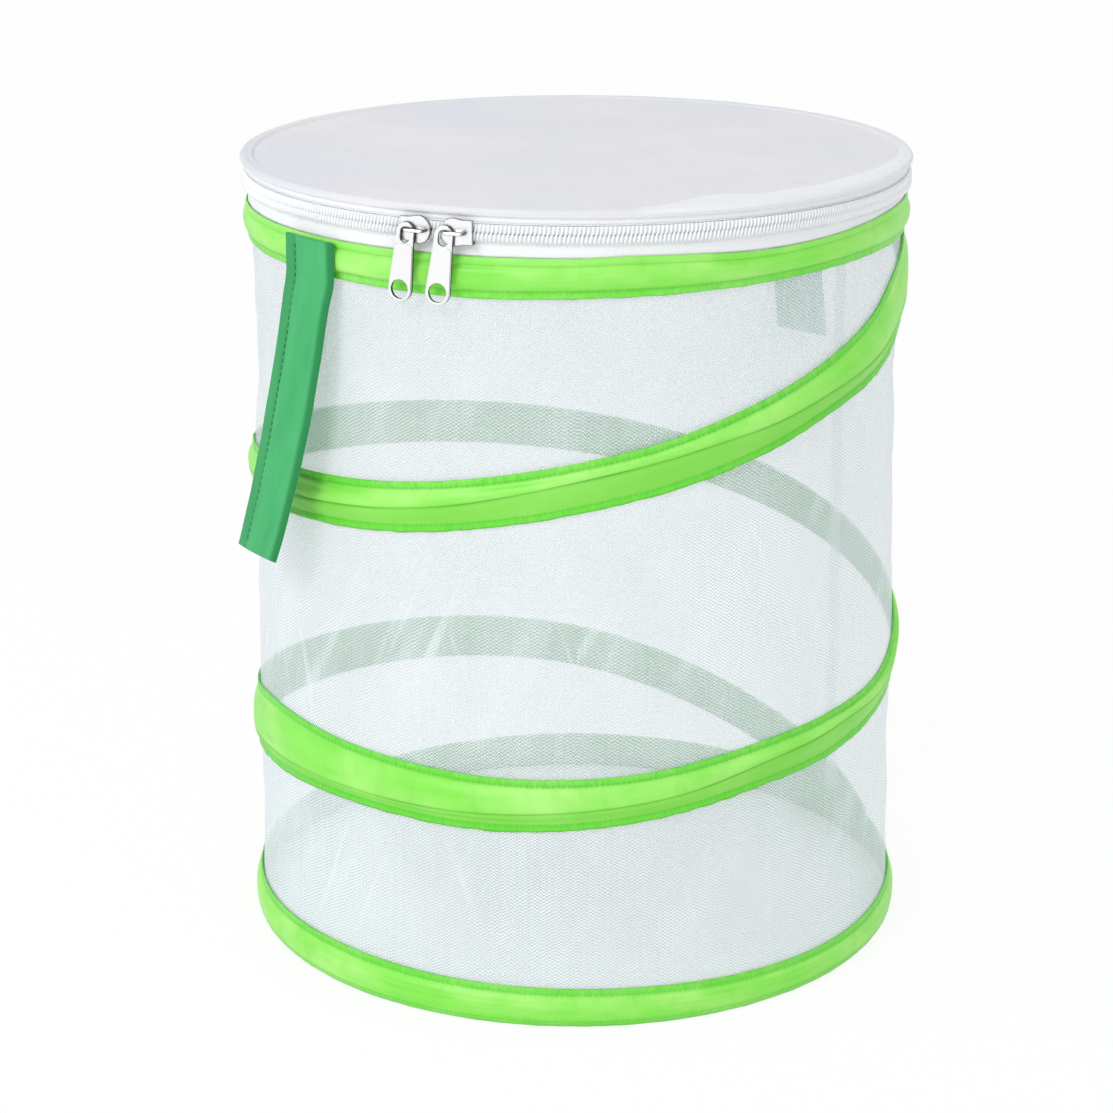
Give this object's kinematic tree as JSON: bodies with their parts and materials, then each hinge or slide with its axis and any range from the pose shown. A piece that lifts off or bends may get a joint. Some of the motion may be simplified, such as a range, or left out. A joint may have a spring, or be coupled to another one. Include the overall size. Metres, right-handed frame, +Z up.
{
  "type": "insect cage",
  "caption": "Pop-up insect cage: a mesh cylinder held open by a sprung steel spiral in a sewn sleeve, with a zipped fabric lid, two sliders with pull tabs and hanging straps.",
  "frame": {"origin": "centre of the floor, on the surface the cage stands on", "axes": "+Z up along the cylinder, -Y towards the side with the two zip sliders at rest, +X to the right seen from there"},
  "size_m": [0.3088, 0.3088, 0.3622],
  "materials": {
    "white_fabric": "plain woven polyester, matt",
    "mesh_tulle": "fine knitted mesh, see-through, matt",
    "lid_fabric": "dense pale fabric, faint sheen",
    "lime_nylon": "satin nylon with stitched, puckered edges",
    "emerald_webbing": "woven tape with a stitch line",
    "zip_coil": "satin nylon coil",
    "spring_steel": "drawn wire",
    "nickel": "polished nickel plate"
  },
  "bodies": {
    "base": {"floor_panel": "white_fabric", "bottom_hoop_wire": "spring_steel", "bottom_band": "lime_nylon", "mesh_wall": "mesh_tulle", "spiral_wire": "spring_steel", "spiral_band": "lime_nylon"},
    "top": {"top_hoop_wire": "spring_steel", "top_band": "lime_nylon", "lower_zip_tape": "white_fabric", "lower_zip_chain": "zip_coil", "zip_stop_left": "zip_coil", "zip_stop_right": "zip_coil", "hinge_cloth": "white_fabric"},
    "lid": {"lid_panel": "lid_fabric", "lid_rim_binding": "white_fabric", "lid_rim_cord": "zip_coil", "upper_zip_tape": "white_fabric", "upper_zip_chain": "zip_coil"},
    "slider_left": {"slider_left": "nickel"},
    "pull_left": {"pull_left": "nickel"},
    "slider_right": {"slider_right": "nickel"},
    "pull_right": {"pull_right": "nickel"},
    "strap_front": {"strap_front": "emerald_webbing"},
    "strap_back": {"strap_back": "emerald_webbing"}
  },
  "joints": [
    {"name": "collapse", "type": "slide", "parent": "base", "child": "top", "axis": [0, 0, -1], "range_m": [0, 0.27], "stiffness_N_per_m": 40, "springref_m": -0.2, "deforming": ["mesh_wall", "spiral_wire", "spiral_band"]},
    {"name": "lid_hinge", "type": "hinge", "parent": "top", "child": "lid", "pos_m": [0, 0.14873, 0.3516], "axis": [-1, 0, 0], "range_deg": [0, 120]},
    {"name": "slider_left_run", "type": "hinge", "parent": "top", "child": "slider_left", "pos_m": [0, 0, 0.3516], "axis": [0, 0, 1], "range_deg": [-126, 0]},
    {"name": "slider_right_run", "type": "hinge", "parent": "top", "child": "slider_right", "pos_m": [0, 0, 0.3516], "axis": [0, 0, 1], "range_deg": [0, 170.5]},
    {"name": "pull_left_swing", "type": "hinge", "parent": "slider_left", "child": "pull_left", "pos_m": [-0.07006, -0.13627, 0.3516], "axis": [-0.4368, -0.8996, 0], "range_deg": [-140, 11]},
    {"name": "pull_right_swing", "type": "hinge", "parent": "slider_right", "child": "pull_right", "pos_m": [-0.05422, -0.14334, 0.3516], "axis": [-0.3256, -0.9455, 0], "range_deg": [-11, 50]},
    {"name": "strap_front_swing", "type": "hinge", "parent": "top", "child": "strap_front", "pos_m": [-0.11232, -0.10149, 0.341], "axis": [-0.6704, 0.742, 0], "range_deg": [0, 170]},
    {"name": "strap_back_swing", "type": "hinge", "parent": "top", "child": "strap_back", "pos_m": [0.1061, 0.10797, 0.341], "axis": [0.7133, -0.7009, 0], "range_deg": [0, 170]}
  ]
}
